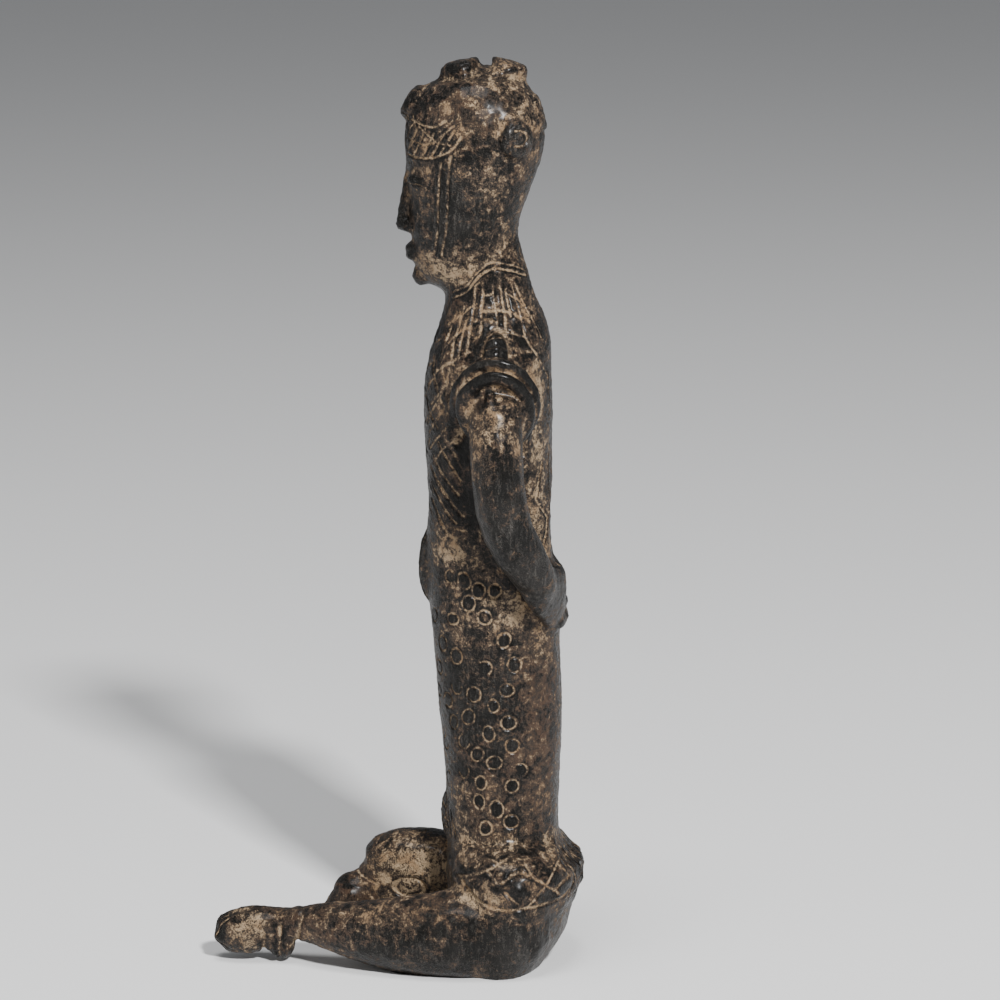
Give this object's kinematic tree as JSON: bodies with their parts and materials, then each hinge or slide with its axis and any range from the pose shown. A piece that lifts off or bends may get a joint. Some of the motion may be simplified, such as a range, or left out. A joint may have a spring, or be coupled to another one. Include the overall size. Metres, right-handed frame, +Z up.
{
  "type": "seated bronze figure",
  "caption": "Cast bronze figure with a tall column body, seated on the ground with one leg stretched and one knee raised, hands laid on its back.",
  "frame": {"origin": "on the standing plane, under the axis of the torso", "axes": "+Z is up, the figure faces -Y and its left side is at +X"},
  "size_m": [0.0898, 0.1223, 0.2997],
  "materials": {
    "bronze": "near-black aged bronze with tan earth in its hollows"
  },
  "bodies": {
    "root": {"seated_figure": "bronze"}
  },
  "joints": []
}
